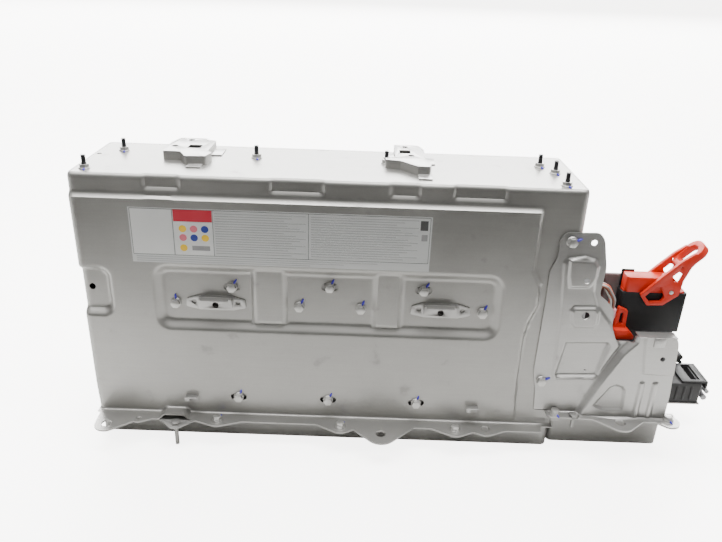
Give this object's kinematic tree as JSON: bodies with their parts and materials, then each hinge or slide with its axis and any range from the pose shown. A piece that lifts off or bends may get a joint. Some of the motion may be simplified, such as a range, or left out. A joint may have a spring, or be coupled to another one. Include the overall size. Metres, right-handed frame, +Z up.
{
  "type": "ev battery module",
  "caption": "Sealed traction battery pack in a pressed steel case with bolted flange, mounting brackets, junction end and a pull-out service plug with a lever.",
  "frame": {"origin": "the middle of the main case's underside, on the surface it stands on", "axes": "+X to the service plug end, +Z up, -Y the front with the pressed recess"},
  "size_m": [0.8313, 0.25, 0.373],
  "materials": {
    "case_steel": "satin galvanised",
    "bracket_steel": "satin galvanised",
    "zinc_fasteners": "zinc plated",
    "dark_studs": "black zinc",
    "cell_can": "satin",
    "spacer_plastic": "moulded",
    "copper": "bare",
    "end_plate": "cast",
    "black_plastic": "moulded",
    "dark_grey_plastic": "moulded",
    "orange_plastic": "moulded",
    "ceramic": "plain",
    "guard_plastic": "translucent",
    "white_plastic": "moulded",
    "pink_plastic": "moulded",
    "wire_sleeve": "bundled wires",
    "grey_plastic": "moulded"
  },
  "bodies": {
    "case": {"upper_cover": "case_steel", "lower_tray": "case_steel", "junction_tray": "case_steel", "side_bracket": "bracket_steel", "top_bracket_left": "bracket_steel", "top_bracket_right": "bracket_steel", "face_bracket_left": "bracket_steel", "face_bracket_right": "bracket_steel", "clip_tabs": "bracket_steel", "slot_bolts_high": "zinc_fasteners", "slot_bolts_low": "zinc_fasteners", "plain_bolts": "zinc_fasteners", "bracket_bolts": "zinc_fasteners", "seam_bolts": "zinc_fasteners", "seam_nuts": "zinc_fasteners", "tray_studs": "zinc_fasteners", "top_studs": "dark_studs", "top_nuts": "zinc_fasteners", "cells_lower": "cell_can", "cells_upper": "cell_can", "spacers_lower": "spacer_plastic", "spacers_upper": "spacer_plastic", "busbars_lower": "copper", "busbars_upper": "copper", "end_plates": "end_plate", "tie_rails": "bracket_steel", "cell_bearers": "bracket_steel", "gas_duct": "spacer_plastic", "junction_base": "black_plastic", "relays": "black_plastic", "precharge_resistor": "ceramic", "current_sensor": "black_plastic", "high_voltage_bars": "copper", "socket_stand": "black_plastic", "plug_socket": "black_plastic", "busbar_guard": "guard_plastic", "guard_stand": "dark_grey_plastic", "interlock_connector": "orange_plastic", "interlock_strip": "white_plastic", "sense_connector": "pink_plastic", "harness": "wire_sleeve", "unit_sheet": "bracket_steel", "control_unit": "dark_grey_plastic", "clip_frame": "black_plastic", "unit_lid": "black_plastic", "wire_clip": "grey_plastic"},
    "plug": {"plug_body": "orange_plastic", "lever_pin": "zinc_fasteners"},
    "lever": {"plug_lever": "orange_plastic"}
  },
  "joints": [
    {"name": "plug_pull", "type": "slide", "parent": "case", "child": "plug", "axis": [0, 0, 1], "range_m": [0, 0.045]},
    {"name": "lever_swing", "type": "hinge", "parent": "plug", "child": "lever", "pos_m": [0.424, -0.0405, 0.226], "axis": [0, 1, 0], "range_deg": [-45, 40]}
  ]
}
